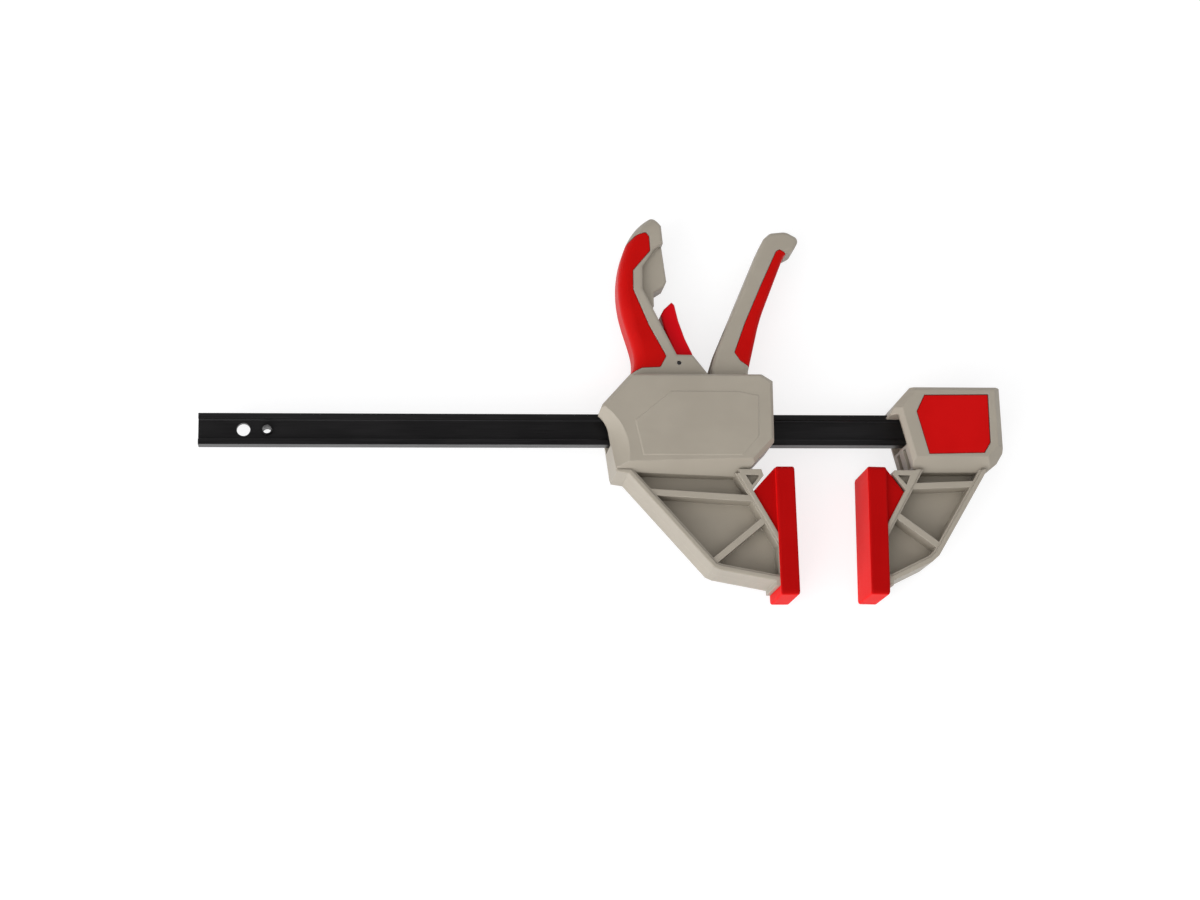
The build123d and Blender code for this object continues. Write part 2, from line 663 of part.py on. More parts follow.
# ------------------------------------------------------------ fixed head and jaw
fixed_foot = (15.6, -33.2)
fixed_chin = (fixed_reach - 12.0, -33.2)
fixed_cheek = (fixed_reach - 4.4, -27.4)
fixed_low = (fixed_reach, -20.0)
fixed_high = (fixed_reach, fixed_top)
fixed_brow = (15.2, fixed_top)
fixed_nape = (5.0, 16.2)
fixed_tip = (0.2, 8.0)
fixed_notch = (6.0, 7.8)
fixed_head_corners = [fixed_foot, fixed_chin, fixed_cheek, fixed_low, fixed_high, fixed_brow, fixed_nape,
                      fixed_tip, fixed_notch]
fixed_mouth_reach = 15.0
fixed_mouth_half = 18.5
fixed_root = (fixed_reach - 12.9, -33.0)
fixed_heel = (27.5, -95.9)
fixed_jaw_low = on_fixed_pad(pad_thickness + toe_width, jaw_low)
fixed_apex = on_fixed_pad(pad_thickness + fixed_nose, nose_tip)
fixed_nose_foot = on_fixed_pad(pad_thickness, fixed_nose_low)
fixed_slope_run = (fixed_nose_foot[0] - fixed_apex[0]) / (fixed_nose_foot[1] - fixed_apex[1])
fixed_front_head = (fixed_nose_foot[0] + (jaw_root - fixed_nose_foot[1]) * fixed_slope_run, jaw_root)
fixed_jaw_corners = [on_fixed_pad(seat_bed, seat_top(fixed_nose, fixed_nose_low)),
                     on_fixed_pad(seat_bed, jaw_low), fixed_jaw_low,
                     along(fixed_heel, fixed_jaw_low, 0.10), along(fixed_heel, fixed_root, 0.045),
                     fixed_root, (fixed_root[0], jaw_root), fixed_front_head]
fixed_ribs = [((0.0, -44.4), (70.0, -41.8)), ((-6.0, -59.0), (38.0, -92.5))]
fixed_gusset = [(fixed_apex[0] + 3.5, fixed_apex[1]), (fixed_apex[0] + 1.0, fixed_apex[1] + 1.2),
                (fixed_apex[0] - 7.4, -35.5), (fixed_apex[0] - 6.4, -32.8), (fixed_apex[0] + 10.0, -32.8)]
fixed_recess = [(fixed_apex[0] - 4.0, -36.2), (fixed_apex[0] + 4.8, -36.2), (fixed_apex[0] + 1.8, -43.2)]
insert_corners = [(18.0, 8.9), (25.4, -22.0), (fixed_reach - 14.5, -21.2), (fixed_reach - 9.7, -13.6),
                  (fixed_reach - 9.2, fixed_top - 5.5), (24.3, fixed_top - 6.0)]
wall_slot = [(8.0, -15.0), (15.4, -15.0), (18.8, -29.4), (11.4, -29.4)]
wall_slot_near = 5.0
wall_slot_far = 12.5

with BuildPart() as fixed_block:
    prism(fixed, fixed_head_corners, -half_head, half_head)
    bevel(fixed, (25.0, -23.8), (66.0, -23.8), 0.0, half_head)
    bevel(fixed, fixed_chin, fixed_low, 6.5, half_head)
    bevel(fixed, fixed_low, fixed_high, 4.5, half_head)
    bevel(fixed, fixed_high, fixed_brow, 2.5, half_head)
    bevel(fixed, fixed_brow, fixed_tip, 4.0, half_head)
    bevel(fixed, fixed_notch, fixed_foot, 3.0, half_head)
    fillet(fixed_block.edges(), fixed_round)

with BuildPart() as fixed_jaw:
    prism(fixed, fixed_jaw_corners, -half_jaw, half_jaw)
    fillet(faces().filter_by(Axis.Z).edges(), jaw_round)
    ribbed_pocket(fixed, fixed_jaw_corners, rim, [], half_jaw - rim_drop)
    ribbed_pocket(fixed, fixed_jaw_corners, rim + rim_step, fixed_ribs, jaw_web / 2)
    trim_root(fixed, fixed_foot, fixed_chin, root_overlap)
    jaw_toe(fixed, on_fixed_pad)
    gusset_bracket(fixed, fixed_gusset, fixed_recess)
    add(fixed_block.part)
    # seats for the side inserts, cored out behind them except round the pins and along the ribs
    for side in (1, -1):
        with BuildSketch(fixed.offset(side * half_head)) as seat:
            with BuildLine():
                Polyline(*insert_corners, close=True)
            make_face()
        extrude(seat.sketch, amount=-side * (insert_thickness + insert_drop), mode=Mode.SUBTRACT)
        with BuildSketch(fixed.offset(side * half_head)) as core:
            with BuildLine():
                Polyline(*insert_corners, close=True)
            make_face()
            offset(amount=-wall, kind=Kind.INTERSECTION)
            with Locations(*fixed_pin_at):
                Circle(2 * fixed_pin_r, mode=Mode.SUBTRACT)
            rib_strip((0.0, 0.0), (fixed_reach, 0.0), rib)
            for x, y in fixed_pin_at:
                rib_strip((x, -half_head), (x, half_head), rib)
        for face in core.sketch.faces():
            extrude(face, amount=-side * (half_head - bar_depth / 2 - bar_cheek), mode=Mode.SUBTRACT)
        prism(fixed, wall_slot, side * wall_slot_near, side * wall_slot_far, Mode.SUBTRACT)
    block(fixed, -fixed_reach, bar_seat + fit_gap, -half_bar - fit_gap, half_bar + fit_gap,
          bar_depth / 2 + fit_gap, Mode.SUBTRACT)
    block(fixed, fixed_pad_x, fixed_mouth_reach, -half_bar - mouth_gap, fixed_notch[1], fixed_mouth_half,
          Mode.SUBTRACT)
    post(fixed, fixed_pin_at, fixed_pin_r + fit_gap, -through, through, Mode.SUBTRACT)

with BuildPart() as fixed_insert_front:
    insert_back = half_head - insert_drop - insert_thickness
    with BuildSketch(fixed.offset(insert_back)):
        with BuildLine():
            Polyline(*insert_corners, close=True)
        make_face()
        offset(amount=-cover_gap, kind=Kind.INTERSECTION)
    extrude(amount=insert_thickness)
    chamfer(fixed_insert_front.faces().sort_by(Axis.Z)[-1].edges(), insert_chamfer)

with BuildPart() as fixed_insert_back:
    add(fixed_insert_front.part)
    mirror(about=bar_mid, mode=Mode.REPLACE)

with BuildPart() as fixed_jaw_pins:
    post(fixed, fixed_pin_at, fixed_pin_r, -insert_back, insert_back)


# ------------------------------------------------------------ coil springs
def coil(start_x, end_x, y, radius, wire, turns):
    """A compression spring along the bar, between two faces."""
    centre = slide.from_local_coords((start_x + wire / 2, y, 0))
    length = end_x - start_x - wire
    with BuildLine() as path:
        Helix(length / turns, length, radius, center=centre, direction=(1, 0, 0))
    with BuildSketch(Plane(path.line @ 0, z_dir=path.line % 0)) as section:
        Circle(wire / 2)
    sweep(section.sketch, path=path.line)


with BuildPart() as drive_spring:
    drive_coil_r = hypot(half_bar, bar_depth / 2) + coil_gap + drive_wire / 2
    drive_coil_back = (drive_coil_r + drive_wire / 2) * tan(radians(plate_cant))
    coil(drive_bay_x + 2 * fit_gap, drive_rear_x - drive_coil_back - 2 * fit_gap, 0.0, drive_coil_r,
         drive_wire, drive_turns)

with BuildPart() as brake_spring:
    brake_coil_end = brake_x - brake_coil_y * tan(radians(brake_cant)) - face_offset
    coil(brake_bay_x + 2 * fit_gap, brake_coil_end - slide_gap - coil_gap, brake_coil_y, brake_coil_r,
         brake_wire, brake_turns)

# ------------------------------------------------------------ one file for each piece
pieces = {
    "bar": bar, "stop_pin": stop_pin, "sliding_pad": sliding_pad, "fixed_pad": fixed_pad,
    "housing_front": housing_front, "housing_back": housing_back, "housing_screws": housing_screws,
    "grip_cover": grip_cover, "drive_lever": drive_lever, "lever_grip": lever_grip,
    "lever_pivot_pin": lever_pivot_pin, "lever_push_pin": lever_push_pin, "release_trigger": release_trigger,
    "trigger_pivot_pin": trigger_pivot_pin, "fixed_jaw": fixed_jaw, "fixed_insert_front": fixed_insert_front,
    "fixed_insert_back": fixed_insert_back, "fixed_jaw_pins": fixed_jaw_pins, "drive_spring": drive_spring,
    "brake_spring": brake_spring,
}
for name, piece in pieces.items():
    piece.part.label = name
    export_step(piece.part, f"parts/{name}.step")

for number in range(plate_count):
    with BuildPart() as drive_plate:
        grip_plate(drive_front_x - (number + 0.5) * drive_pitch, plate_cant, plate_thickness, plate_reach,
                   tongue_width, tongue_reach)
    drive_plate.part.label = f"drive_plate_{number + 1}"
    export_step(drive_plate.part, f"parts/drive_plate_{number + 1}.step")

for number in range(brake_count):
    shift = (number - (brake_count - 1) / 2) * brake_thickness / cos(radians(brake_cant))
    with BuildPart() as brake_plate:
        grip_plate(brake_x + shift, brake_cant, brake_thickness, brake_low, brake_tongue_width,
                   brake_tongue_reach)
    brake_plate.part.label = f"brake_plate_{number + 1}"
    export_step(brake_plate.part, f"parts/brake_plate_{number + 1}.step")
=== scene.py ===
import bpy
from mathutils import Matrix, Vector


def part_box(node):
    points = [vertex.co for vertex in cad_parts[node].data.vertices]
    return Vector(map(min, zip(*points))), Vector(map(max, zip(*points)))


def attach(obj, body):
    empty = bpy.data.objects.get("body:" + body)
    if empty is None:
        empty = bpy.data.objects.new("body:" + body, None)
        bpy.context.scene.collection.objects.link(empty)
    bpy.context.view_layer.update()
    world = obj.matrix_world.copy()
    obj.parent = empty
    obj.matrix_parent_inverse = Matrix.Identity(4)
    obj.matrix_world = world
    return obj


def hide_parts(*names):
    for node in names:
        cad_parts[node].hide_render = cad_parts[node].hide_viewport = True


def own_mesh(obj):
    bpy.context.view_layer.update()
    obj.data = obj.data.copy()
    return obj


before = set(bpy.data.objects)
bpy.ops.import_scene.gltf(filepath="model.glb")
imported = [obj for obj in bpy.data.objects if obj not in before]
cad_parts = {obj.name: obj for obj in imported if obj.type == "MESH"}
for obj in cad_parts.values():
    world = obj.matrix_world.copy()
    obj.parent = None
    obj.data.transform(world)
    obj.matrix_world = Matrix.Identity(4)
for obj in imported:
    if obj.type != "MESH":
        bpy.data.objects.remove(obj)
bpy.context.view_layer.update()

print("frame loaded:", len(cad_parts), "nodes")


# What the masks of all finishes share
maskLook = {
    "bevelSamples": 6,
    "shadeSamples": 8,
    "edgeSpan": (0.0, 0.12),  # how far the rounded normal leans off the flat one
    "levelSpan": (0.1, 0.8),  # how far a face turns up or down, from wall to level
    "noiseMiddle": 0.5,
}


class Wire:  # one shader socket, with the arithmetic that the finishes use
    def __init__(self, finish, socket):
        self.finish = finish
        self.socket = socket

    def maths(self, operation, *values):
        return self.finish.node("ShaderNodeMath", {"operation": operation}, dict(enumerate(values)))

    def __add__(self, other):
        return self.maths("ADD", self, other)

    def __sub__(self, other):
        return self.maths("SUBTRACT", self, other)

    def __mul__(self, other):
        return self.maths("MULTIPLY", self, other)

    def __rsub__(self, other):
        return self.maths("SUBTRACT", other, self)

    __radd__ = __add__
    __rmul__ = __mul__

    def clamped(self, low=0.0, high=1.0):
        return self.maths("MINIMUM", self.maths("MAXIMUM", self, low), high)

    def span(self, low, high, newLow=0.0, newHigh=1.0):  # maps a range smoothly onto another
        return self.finish.node("ShaderNodeMapRange", {"interpolation_type": "SMOOTHSTEP"},
                                {"Value": self, "From Min": low, "From Max": high,
                                 "To Min": newLow, "To Max": newHigh})

    def swing(self, amount):  # a noise as a change up and down
        return (self - maskLook["noiseMiddle"]) * amount


class Finish:  # a material, or the world, and the nodes in it
    def __init__(self, owner):
        self.owner = owner
        owner.use_nodes = True
        self.tree = owner.node_tree
        self.tree.nodes.clear()
        self.place = self.node("ShaderNodeTexCoord", output="Object")

    def node(self, kind, settings=None, sockets=None, output=0):
        made = self.tree.nodes.new(kind)
        for name, value in (settings or {}).items():
            setattr(made, name, value)
        for name, value in (sockets or {}).items():
            if isinstance(value, Wire):
                self.tree.links.new(value.socket, made.inputs[name])
            else:
                made.inputs[name].default_value = value
        return Wire(self, made.outputs[output]) if made.outputs else None

    def noise(self, size, detail=2.0, roughness=0.5, stretch=(1, 1, 1)):  # size in metres
        place = self.node("ShaderNodeMapping", sockets={"Vector": self.place, "Scale": stretch})
        return self.node("ShaderNodeTexNoise", sockets={"Vector": place, "Scale": 1 / size,
                                                        "Detail": detail, "Roughness": roughness})

    def cells(self, size):
        return self.node("ShaderNodeTexVoronoi", sockets={"Vector": self.place, "Scale": 1 / size},
                         output="Distance")

    def mix(self, share, first, second):  # inputs 6 and 7 and output 2 are the node's colours
        return self.node("ShaderNodeMix", {"data_type": "RGBA"}, {0: share, 6: first, 7: second}, 2)

    def rounded(self, radius):  # the normal, as if edges had this radius
        return self.node("ShaderNodeBevel", {"samples": maskLook["bevelSamples"]}, {"Radius": radius})

    def dot(self, first, second):
        return self.node("ShaderNodeVectorMath", {"operation": "DOT_PRODUCT"}, {0: first, 1: second},
                         "Value")

    def edges(self, radius):  # 1 on edges, fading to 0 within a radius
        flat = self.node("ShaderNodeNewGeometry", output="Normal")
        return (1 - self.dot(self.rounded(radius), flat)).span(*maskLook["edgeSpan"])

    def sides(self):  # 1 on walls that stand up from the floor, 0 on level faces
        slope = self.node("ShaderNodeNewGeometry", output="True Normal")
        level = self.node("ShaderNodeSeparateXYZ", sockets={0: slope}, output="Z")
        return 1 - level.maths("ABSOLUTE", level).span(*maskLook["levelSpan"])

    def crevice(self, distance):  # 1 deep in corners and recesses
        openness = self.node("ShaderNodeAmbientOcclusion", {"samples": maskLook["shadeSamples"]},
                             {"Distance": distance}, "AO")
        return (1 - openness).clamped()

    def shown(self):  # 1 for what is seen directly, in gloss or through glass, 0 for what only lights
        camera, gloss, glass = (self.node("ShaderNodeLightPath", output=name)
                                for name in ("Is Camera Ray", "Is Glossy Ray", "Is Transmission Ray"))
        return (camera + gloss + glass).clamped()

    def bump(self, height, depth, strength, edgeRadius):
        return self.node("ShaderNodeBump", sockets={"Height": height, "Distance": depth,
                                                    "Strength": strength,
                                                    "Normal": self.rounded(edgeRadius)})

    def surface(self, **sockets):
        names = {"colour": "Base Color", "roughness": "Roughness", "metallic": "Metallic",
                 "normal": "Normal", "specular": "Specular IOR Level", "coat": "Coat Weight",
                 "coatRoughness": "Coat Roughness"}
        shader = self.node("ShaderNodeBsdfPrincipled",
                           sockets={names[key]: value for key, value in sockets.items()})
        self.node("ShaderNodeOutputMaterial", sockets={"Surface": shader})
        return self.owner


# Warm grey moulded nylon of the housing, the jaws and the lever
nylonLook = {
    "colour": (0.364, 0.324, 0.264, 1.0),
    "dusky": (0.340, 0.302, 0.245, 1.0),
    "clouds": {"size": 0.045, "detail": 3.0},
    "flow": {"size": 0.007, "detail": 4.0, "roughness": 0.6, "stretch": (0.35, 1, 1)},
    "flowShare": 0.18,  # of the flow lines in the mottle
    "mottleSpan": (0.36, 0.66),
    # paler colour for scuffs (wear) and for edges (partly wear, partly a painted highlight)
    "wearAndHighlight": (0.49, 0.442, 0.376, 1.0),
    "edgeWearAndHighlightShare": 0.55,
    "edgeRadius": 0.0007,
    "scuffs": {"size": 0.0022, "detail": 5.0, "roughness": 0.7, "stretch": (1, 0.3, 1)},
    "scuffSpan": (0.62, 0.74),
    "scuffShare": 0.06,
    # painted shade: a darker colour for deep corners and recesses
    "recessShadeColour": (0.17, 0.148, 0.118, 1.0),
    "recessShadeReach": 0.008,
    "recessShadeSpan": (0.3, 1.0),
    "recessShadeShare": 0.28,
    "roughness": 0.46,
    "grainRoughness": 0.18,
    "flowRoughness": 0.12,
    "rubGloss": 0.08,
    "roughLimits": (0.25, 0.8),
    "grain": {"size": 0.00045, "detail": 3.0, "roughness": 0.65},
    "grainDepth": 0.00005,
    "flowHeight": 0.25,  # against the grain's
    "bumpStrength": 0.7,
    "specular": 0.34,
}


def nylonFinish(name, look):
    finish = Finish(bpy.data.materials.new(name))
    clouds = finish.noise(**look["clouds"])
    flow = finish.noise(**look["flow"])
    grain = finish.noise(**look["grain"])
    mottle = clouds * (1 - look["flowShare"]) + flow * look["flowShare"]
    base = finish.mix(mottle.span(*look["mottleSpan"]), look["dusky"], look["colour"])
    edgeMask = finish.edges(look["edgeRadius"])
    # lighter on the edges: partly wear, partly a painted highlight
    base = finish.mix(edgeMask * look["edgeWearAndHighlightShare"], base, look["wearAndHighlight"])
    scuffs = finish.noise(**look["scuffs"]).span(*look["scuffSpan"])
    base = finish.mix(scuffs * look["scuffShare"], base, look["wearAndHighlight"])
    # painted shade: darkened deep in corners and recesses, by ambient occlusion
    recessShade = finish.crevice(look["recessShadeReach"]).span(*look["recessShadeSpan"])
    base = finish.mix(recessShade * look["recessShadeShare"], base, look["recessShadeColour"])
    rough = look["roughness"] + grain.swing(look["grainRoughness"]) + flow.swing(look["flowRoughness"])
    rough = rough - edgeMask * look["rubGloss"]
    relief = finish.bump(grain + flow * look["flowHeight"], look["grainDepth"], look["bumpStrength"],
                         look["edgeRadius"])
    return finish.surface(colour=base, roughness=rough.clamped(*look["roughLimits"]),
                          specular=look["specular"], normal=relief)


# Soft red overmould of the grip's cover and the lever's insert
rubberLook = {
    "colour": (0.500, 0.0028, 0.0018, 1.0),
    "deep": (0.465, 0.0022, 0.0016, 1.0),
    "clouds": {"size": 0.03, "detail": 3.0},
    "cloudSpan": (0.35, 0.65),
    "side": (0.560, 0.0060, 0.0050, 1.0),  # painted light: brighter on the walls that stand up, as if lit from the side
    "bloom": (0.62, 0.018, 0.015, 1.0),  # pale film on edges and in specks
    "edgeBloom": 0.30,
    "edgeRadius": 0.0008,
    "speckSize": 0.0011,
    "speckSpan": (0.10, 0.0),
    "speckBloom": 0.08,
    "roughness": 0.44,
    "grainRoughness": 0.2,
    "cloudRoughness": 0.1,
    "roughLimits": (0.2, 0.9),
    "grain": {"size": 0.00035, "detail": 2.0, "roughness": 0.6},
    "grainDepth": 0.00004,
    "bumpStrength": 0.6,
    "specular": 0.08,
    "coat": 0.01,
    "coatRoughness": 0.35,
}
# Harder red trim: the inserts of the fixed head
trimLook = dict(
    rubberLook,
    colour=(0.560, 0.0028, 0.0028, 1.0),
    deep=(0.530, 0.0024, 0.0024, 1.0),
    roughness=0.40,
    coat=0.03,
    grain=dict(rubberLook["grain"], size=0.0006),
)
triggerLook = dict(trimLook, colour=(0.670, 0.0022, 0.0080, 1.0), deep=(0.630, 0.0020, 0.0070, 1.0))
# Matt red pads
padLook = dict(
    rubberLook,
    colour=(0.420, 0.0026, 0.0026, 1.0),
    deep=(0.395, 0.0020, 0.0022, 1.0),
    # painted light: the pads' walls much brighter than their tops
    side=(0.76, 0.006, 0.006, 1.0),
    roughness=0.50,
    specular=0.04,
    coat=0.0,
    clouds=dict(rubberLook["clouds"], size=0.05),
)


def rubberFinish(name, look):
    finish = Finish(bpy.data.materials.new(name))
    clouds = finish.noise(**look["clouds"])
    grain = finish.noise(**look["grain"])
    specks = finish.cells(look["speckSize"]).span(*look["speckSpan"])
    edgeMask = finish.edges(look["edgeRadius"])
    base = finish.mix(clouds.span(*look["cloudSpan"]), look["deep"], look["colour"])
    # painted light: walls that stand up get a brighter red, as if lit from the side
    base = finish.mix(finish.sides(), base, look["side"])
    base = finish.mix(edgeMask * look["edgeBloom"], base, look["bloom"])
    base = finish.mix(specks * look["speckBloom"], base, look["bloom"])
    rough = look["roughness"] + grain.swing(look["grainRoughness"]) + clouds.swing(look["cloudRoughness"])
    relief = finish.bump(grain, look["grainDepth"], look["bumpStrength"], look["edgeRadius"])
    return finish.surface(colour=base, roughness=rough.clamped(*look["roughLimits"]),
                          specular=look["specular"], coat=look["coat"],
                          coatRoughness=look["coatRoughness"], normal=relief)


# Black coated steel of the bar, rubbed bare in places along its edges
barLook = {
    "colour": (0.0065, 0.0060, 0.0062, 1.0),
    "greyed": (0.0120, 0.0112, 0.0116, 1.0),
    "streaks": {"size": 0.0006, "detail": 3.0, "roughness": 0.6, "stretch": (0.02, 1, 1)},
    "patches": {"size": 0.03, "detail": 3.0, "roughness": 0.6, "stretch": (0.3, 1, 1)},
    "streakShare": 0.5,  # of the streaks in the greyed parts, with patches for the rest
    "greySpan": (0.40, 0.64),
    "steel": (0.16, 0.15, 0.145, 1.0),
    "chips": {"size": 0.0035, "detail": 4.0, "roughness": 0.75},
    "chipSpan": (0.60, 0.70),
    "chipShare": 0.4,
    "bareMetal": 0.9,
    "roughness": 0.34,
    "streakRoughness": 0.25,
    "patchRoughness": 0.2,
    "roughLimits": (0.16, 0.7),
    "peel": {"size": 0.0016, "detail": 2.0},
    "peelDepth": 0.00005,
    "streakHeight": 0.4,  # against the orange peel's
    "bumpStrength": 0.5,
    "edgeRadius": 0.0005,
    "specular": 0.36,
}


def barFinish(name, look):
    finish = Finish(bpy.data.materials.new(name))
    streaks = finish.noise(**look["streaks"])
    patches = finish.noise(**look["patches"])
    peel = finish.noise(**look["peel"])
    edgeMask = finish.edges(look["edgeRadius"])
    chips = finish.noise(**look["chips"]).span(*look["chipSpan"])
    greyed = streaks * look["streakShare"] + patches * (1 - look["streakShare"])
    base = finish.mix(greyed.span(*look["greySpan"]), look["colour"], look["greyed"])
    bare = (edgeMask * chips * look["chipShare"]).clamped()
    base = finish.mix(bare, base, look["steel"])
    rough = look["roughness"] + streaks.swing(look["streakRoughness"])
    rough = rough + patches.swing(look["patchRoughness"])
    relief = finish.bump(peel + streaks * look["streakHeight"], look["peelDepth"], look["bumpStrength"],
                         look["edgeRadius"])
    return finish.surface(colour=base, metallic=bare * look["bareMetal"],
                          roughness=rough.clamped(*look["roughLimits"]), specular=look["specular"],
                          normal=relief)


# Bare steels of the pins, screws, plates and springs: what they share, and each one's own
steelGrain = {
    "stains": {"size": 0.004, "detail": 4.0, "roughness": 0.65},
    "stainSpan": (0.42, 0.72),
    "stainRoughness": 0.2,
    "drawn": {"size": 0.0003, "detail": 2.0, "roughness": 0.6},
    "drawnRoughness": 0.2,
    "drawnDepth": 0.00002,
    "bumpStrength": 0.5,
    "roughLimits": (0.12, 0.8),
    "edgeRadius": 0.0003,
}
steelLooks = {
    "platedPin": {
        "colour": (0.52, 0.52, 0.53, 1.0),
        "stain": (0.34, 0.33, 0.31, 1.0),
        "roughness": 0.30,
        "stretch": (1, 1, 0.1),
    },
    "screwSteel": {
        "colour": (0.17, 0.165, 0.17, 1.0),
        "stain": (0.09, 0.085, 0.08, 1.0),
        "roughness": 0.36,
        "stretch": (1, 1, 1),
    },
    "plateSteel": {
        "colour": (0.40, 0.39, 0.38, 1.0),
        "stain": (0.22, 0.19, 0.16, 1.0),
        "roughness": 0.38,
        "stretch": (1, 0.08, 1),
    },
    "springWire": {
        "colour": (0.42, 0.41, 0.40, 1.0),
        "stain": (0.25, 0.23, 0.21, 1.0),
        "roughness": 0.28,
        "stretch": (0.3, 1, 1),
    },
    "blackedPin": {
        "colour": (0.050, 0.048, 0.050, 1.0),
        "stain": (0.030, 0.028, 0.028, 1.0),
        "roughness": 0.36,
        "stretch": (1, 1, 0.1),
    },
}


def steelFinish(name, look, grain):
    finish = Finish(bpy.data.materials.new(name))
    stain = finish.noise(**grain["stains"]).span(*grain["stainSpan"])
    drawn = finish.noise(**grain["drawn"], stretch=look["stretch"])
    base = finish.mix(stain, look["colour"], look["stain"])
    rough = look["roughness"] + stain * grain["stainRoughness"] + drawn.swing(grain["drawnRoughness"])
    relief = finish.bump(drawn, grain["drawnDepth"], grain["bumpStrength"], grain["edgeRadius"])
    return finish.surface(colour=base, metallic=1.0, roughness=rough.clamped(*grain["roughLimits"]),
                          normal=relief)


steels = {name: steelFinish(name, look, steelGrain) for name, look in steelLooks.items()}
finishes = [
    (nylonFinish("warmGreyNylon", nylonLook), ["housing_front", "housing_back", "drive_lever", "fixed_jaw"]),
    (rubberFinish("redOvermould", rubberLook), ["grip_cover", "lever_grip"]),
    (rubberFinish("redPadRubber", padLook), ["sliding_pad", "fixed_pad"]),
    (rubberFinish("redTrim", trimLook), ["fixed_insert_front", "fixed_insert_back"]),
    (rubberFinish("triggerRed", triggerLook), ["release_trigger"]),
    (barFinish("blackBar", barLook), ["bar"]),
    (steels["platedPin"], ["lever_pivot_pin", "lever_push_pin", "fixed_jaw_pins"]),
    (steels["screwSteel"], ["housing_screws", "trigger_pivot_pin"]),
    (steels["plateSteel"], ["drive_plate_1", "drive_plate_2", "drive_plate_3", "brake_plate_1",
                            "brake_plate_2"]),
    (steels["springWire"], ["drive_spring", "brake_spring"]),
    (steels["blackedPin"], ["stop_pin"]),
]
for material, nodes in finishes:
    for node in nodes:
        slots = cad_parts[node].data.materials
        slots.clear()
        slots.append(material)
print("finishes given:", len(finishes))


# Both coils, wound anew
springLooks = {
    "driveSpringWire": {
        "node": "drive_spring",
        "wire": 0.0016,
        "turns": 4,
        "joint": "drive_plates_push",
        "keep": 0.61,  # of its length, at the joint's limit
    },
    "brakeSpringWire": {
        "node": "brake_spring",
        "wire": 0.0010,
        "turns": 7,
        "joint": "brake_release",
        "keep": 0.70,
    },
}
windings = {"roundSteps": 16, "turnSteps": 48}  # round the wire, and along each turn


def windSpring(name, look):
    low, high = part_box(look["node"])
    middle = [(a + b) / 2 for a, b in zip(low, high)]
    wireRadius = look["wire"] / 2
    coilRadius = (high[1] - low[1]) / 2 - wireRadius
    bpy.ops.object.select_all(action="DESELECT")
    bpy.ops.mesh.primitive_circle_add(vertices=windings["roundSteps"], radius=wireRadius,
                                      location=(low[0] + wireRadius, middle[1], middle[2]))
    spring = bpy.context.active_object
    spring.name = name
    bpy.ops.object.mode_set(mode="EDIT")
    bpy.ops.transform.translate(value=(0, coilRadius, 0))
    bpy.ops.object.mode_set(mode="OBJECT")
    wound = spring.modifiers.new("wound", "SCREW")
    wound.axis = "X"
    wound.iterations = look["turns"]
    wound.screw_offset = (high[0] - low[0] - look["wire"]) / look["turns"]
    wound.steps = wound.render_steps = windings["turnSteps"]
    bpy.ops.object.modifier_apply(modifier="wound")
    bpy.ops.object.transform_apply(location=True, rotation=True, scale=True)
    bpy.ops.object.mode_set(mode="EDIT")
    bpy.ops.mesh.select_all(action="SELECT")
    bpy.ops.mesh.fill_holes(sides=0)
    bpy.ops.mesh.normals_make_consistent(inside=False)
    bpy.ops.object.mode_set(mode="OBJECT")
    bpy.ops.object.shade_smooth_by_angle()
    spring.data.materials.append(steels["springWire"])
    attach(spring, "sliding_head")
    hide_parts(look["node"])
    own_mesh(spring)


for springName, springLook in springLooks.items():
    windSpring(springName, springLook)
print("springs wound:", len(springLooks))


# Camera: above the clamp and towards its rear, low end
cameraLook = {
    "place": (-0.1739, -0.4019, 1.5045),
    "turnOrder": "ZXY",
    "turn": (0.2443, -0.1148, -0.0260),
    "lens": 66.0,
    "filmWidth": 36.0,
    "clipStart": 0.01,
}


def setCamera(look):
    camera = bpy.data.objects.new("camera", bpy.data.cameras.new("camera"))
    bpy.context.collection.objects.link(camera)
    camera.location = look["place"]
    camera.rotation_mode = look["turnOrder"]
    camera.rotation_euler = look["turn"]
    camera.data.sensor_fit = "HORIZONTAL"
    camera.data.sensor_width = look["filmWidth"]
    camera.data.lens = look["lens"]
    camera.data.clip_start = look["clipStart"]
    bpy.context.scene.camera = camera


# Soft boxes: a wide, low one to the rear of the jaws, a broad one overhead that stays out of the gloss,
# and a weak one opposite
lampLooks = {
    "keyBox": {"place": (-1.5, -1.4, 0.95), "size": 1.8, "power": 34.0, "inGloss": True},
    "topBox": {"place": (-0.35, -0.45, 2.2), "size": 2.6, "power": 25.5, "inGloss": False},
    "sideBox": {"place": (1.7, 0.9, 0.9), "size": 1.4, "power": 7.0, "inGloss": True},
}


def setLamp(name, look):
    lamp = bpy.data.objects.new(name, bpy.data.lights.new(name, "AREA"))
    bpy.context.collection.objects.link(lamp)
    lamp.location = look["place"]
    lamp.rotation_euler = (-Vector(look["place"])).to_track_quat("-Z", "Y").to_euler()
    lamp.data.size = look["size"]
    lamp.data.energy = look["power"]
    lamp.visible_glossy = look["inGloss"]


# A room that is dark overhead and bright low on the key's side, with a white backdrop round it.
# Heights are the upward share of a ray's direction.
skyLook = {
    "colour": (0.96, 0.97, 1.0, 1.0),
    "walls": 0.52,
    "ceiling": 0.10,
    "ceilingSpan": (0.45, 1.0),
    "glow": 0.45,
    "glowTowards": (-0.68, -0.68, 0.27),
    "glowSpan": (0.3, 1.0),
    "backdrop": (1.0, 1.0, 1.0, 1.0),
    "backdropTop": (0.22, 0.42),
}


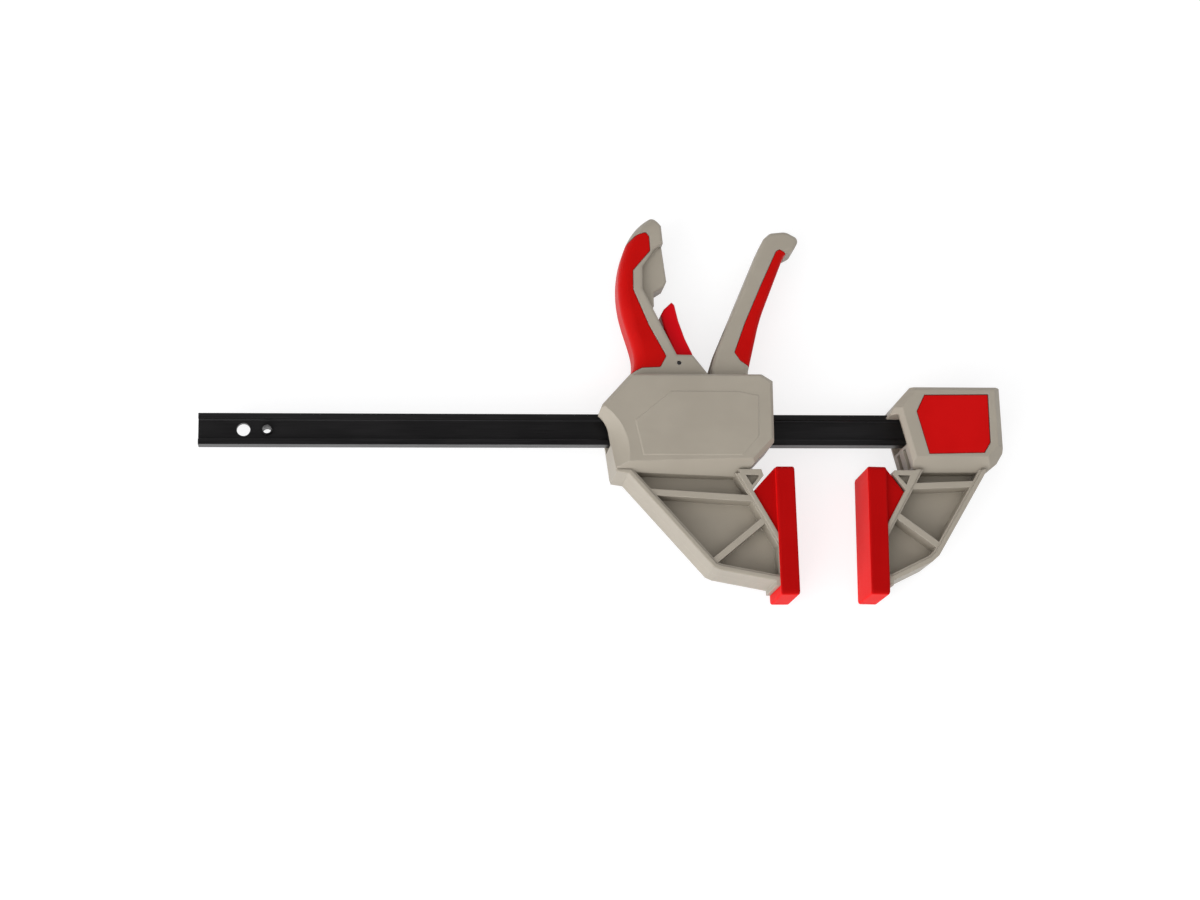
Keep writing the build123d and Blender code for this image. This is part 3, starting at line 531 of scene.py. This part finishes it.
def setSky(look):
    world = bpy.data.worlds.new("studio")
    bpy.context.scene.world = world
    sky = Finish(world)
    ray = sky.node("ShaderNodeTexCoord", output="Generated")
    height = sky.node("ShaderNodeSeparateXYZ", sockets={0: ray}, output="Z")
    strength = height.span(*look["ceilingSpan"], look["walls"], look["ceiling"])
    strength = strength + sky.dot(ray, look["glowTowards"]).span(*look["glowSpan"], 0.0, look["glow"])
    room = sky.node("ShaderNodeBackground", sockets={"Color": look["colour"], "Strength": strength})
    backdrop = sky.node("ShaderNodeBackground", sockets={"Color": look["backdrop"]})
    seen = sky.shown() * height.span(*look["backdropTop"], 1.0, 0.0)
    both = sky.node("ShaderNodeMixShader", sockets={0: seen, 1: room, 2: backdrop})
    sky.node("ShaderNodeOutputWorld", sockets={"Surface": both})


# Pale floor, lifted to white where it is seen, with the clamp's shadow left on it
floorLook = {
    "size": 12.0,
    "height": -0.0002,
    "colour": (0.86, 0.86, 0.86, 1.0),
    "faded": (0.88, 0.88, 0.88, 1.0),
    "clouds": {"size": 0.4},
    "seen": (0.34, 0.34, 0.34, 1.0),
    "backdrop": (1.0, 1.0, 1.0, 1.0),
    "lift": 0.74,
}


def setFloor(look):
    bpy.ops.object.select_all(action="DESELECT")
    bpy.ops.mesh.primitive_plane_add(size=look["size"], location=(0, 0, look["height"]))
    floor = bpy.context.active_object
    floor.name = "floor"
    finish = Finish(bpy.data.materials.new("paleFloor"))
    tone = finish.mix(finish.noise(**look["clouds"]), look["colour"], look["faded"])
    matt = finish.node("ShaderNodeBsdfDiffuse", sockets={"Color": tone})
    pale = finish.node("ShaderNodeBsdfDiffuse", sockets={"Color": look["seen"]})
    glow = finish.node("ShaderNodeEmission", sockets={"Color": look["backdrop"], "Strength": look["lift"]})
    lifted = finish.node("ShaderNodeAddShader", sockets={0: pale, 1: glow})
    both = finish.node("ShaderNodeMixShader", sockets={0: finish.shown(), 1: matt, 2: lifted})
    finish.node("ShaderNodeOutputMaterial", sockets={"Surface": both})
    floor.data.materials.append(finish.owner)


setCamera(cameraLook)
for lampName, lampLook in lampLooks.items():
    setLamp(lampName, lampLook)
setSky(skyLook)
setFloor(floorLook)
bpy.context.scene.view_settings.view_transform = "Standard"
print("camera, lamps, backdrop and floor set")
